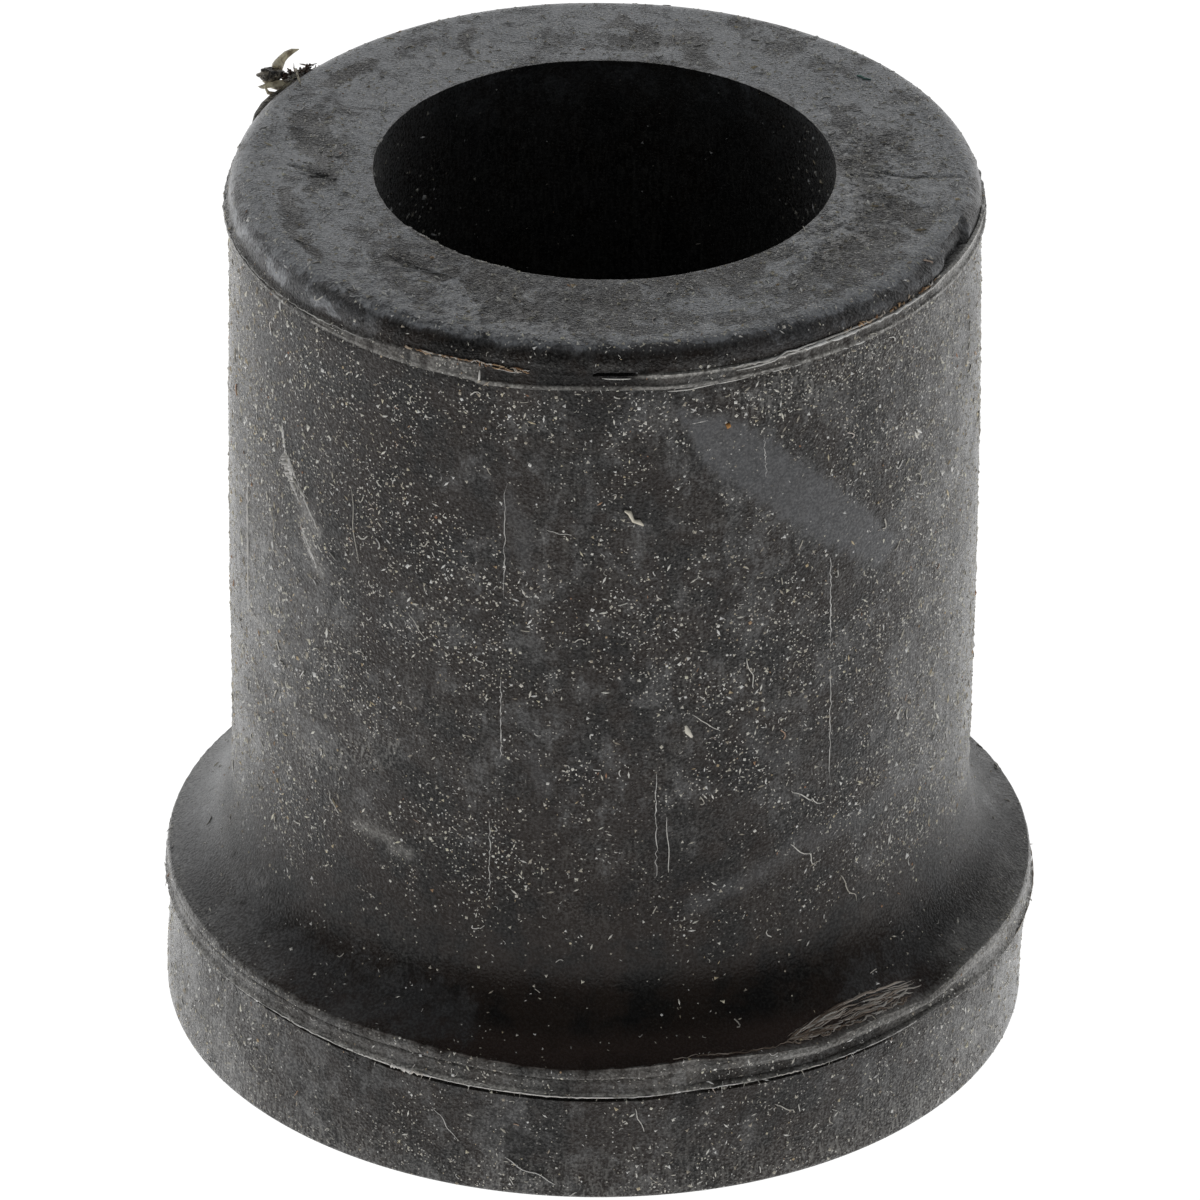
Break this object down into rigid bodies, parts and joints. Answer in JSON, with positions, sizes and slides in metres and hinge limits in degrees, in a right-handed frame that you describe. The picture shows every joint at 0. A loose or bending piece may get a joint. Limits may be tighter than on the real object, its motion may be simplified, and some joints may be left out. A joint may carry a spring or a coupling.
{
  "type": "spring eye bush",
  "caption": "Flanged rubber bush for the eye of a leaf spring: a plain round body, a through bore, a wide root radius and a flange with a flared mould land.",
  "frame": {"origin": "centre of the flange's flat outer face, on the bore axis", "axes": "+Z along the bore axis, from the flange to the nose of the body; the part is round, so +X and +Y are any pair square to it"},
  "size_m": [0.0384, 0.0384, 0.0405],
  "materials": {
    "rubber": "moulded, dusty, satin"
  },
  "bodies": {
    "root": {"spring_eye_bush": "rubber"}
  },
  "joints": []
}
